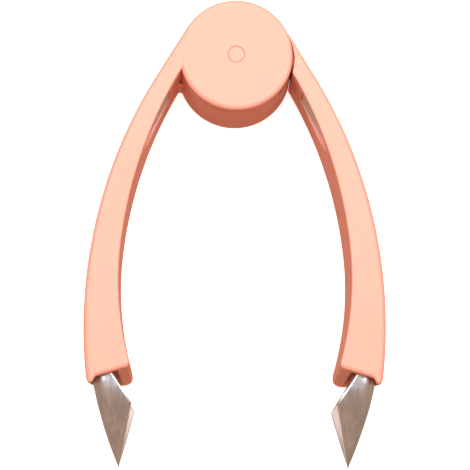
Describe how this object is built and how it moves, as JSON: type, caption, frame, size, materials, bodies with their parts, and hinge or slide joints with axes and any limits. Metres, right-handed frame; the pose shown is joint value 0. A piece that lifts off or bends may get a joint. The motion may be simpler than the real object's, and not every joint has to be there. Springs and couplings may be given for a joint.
{
  "type": "sprung gouge clip",
  "caption": "Hand-held spring-open clip with curved channel arms on a drum hinge and a pointed folded-steel gouge blade at the end of each arm.",
  "frame": {"origin": "on the hinge axis, in the flat back face of the drum that the clip lies on", "axes": "+Z along the hinge axis towards the front disc; +Y from the blades towards the hub, along the length; +X to the right arm when the front is seen"},
  "size_m": [0.074, 0.1169, 0.02],
  "materials": {
    "shell_plastic": "fine satin moulded",
    "blade_steel": "stamped and lightly brushed",
    "pin_steel": "ground",
    "screw_steel": "zinc plated",
    "washer_nylon": "smooth"
  },
  "bodies": {
    "left_arm": {"left_front_shell": "shell_plastic", "left_rear_shell": "shell_plastic", "left_blade": "blade_steel", "left_screws": "screw_steel", "hinge_pin": "pin_steel", "pin_cap": "shell_plastic", "torsion_spring": "pin_steel", "front_washer": "washer_nylon", "rear_washer": "washer_nylon"},
    "right_arm": {"right_front_shell": "shell_plastic", "right_rear_shell": "shell_plastic", "right_blade": "blade_steel", "right_screws": "screw_steel"}
  },
  "joints": [
    {"name": "arm_hinge", "type": "hinge", "parent": "left_arm", "child": "right_arm", "pos_m": [0, 0, 0.0134], "axis": [0, 0, 1], "range_deg": [-30, 0], "stiffness_Nm_per_rad": 0.15, "springref_deg": 20.05, "deforming": ["torsion_spring"]}
  ]
}
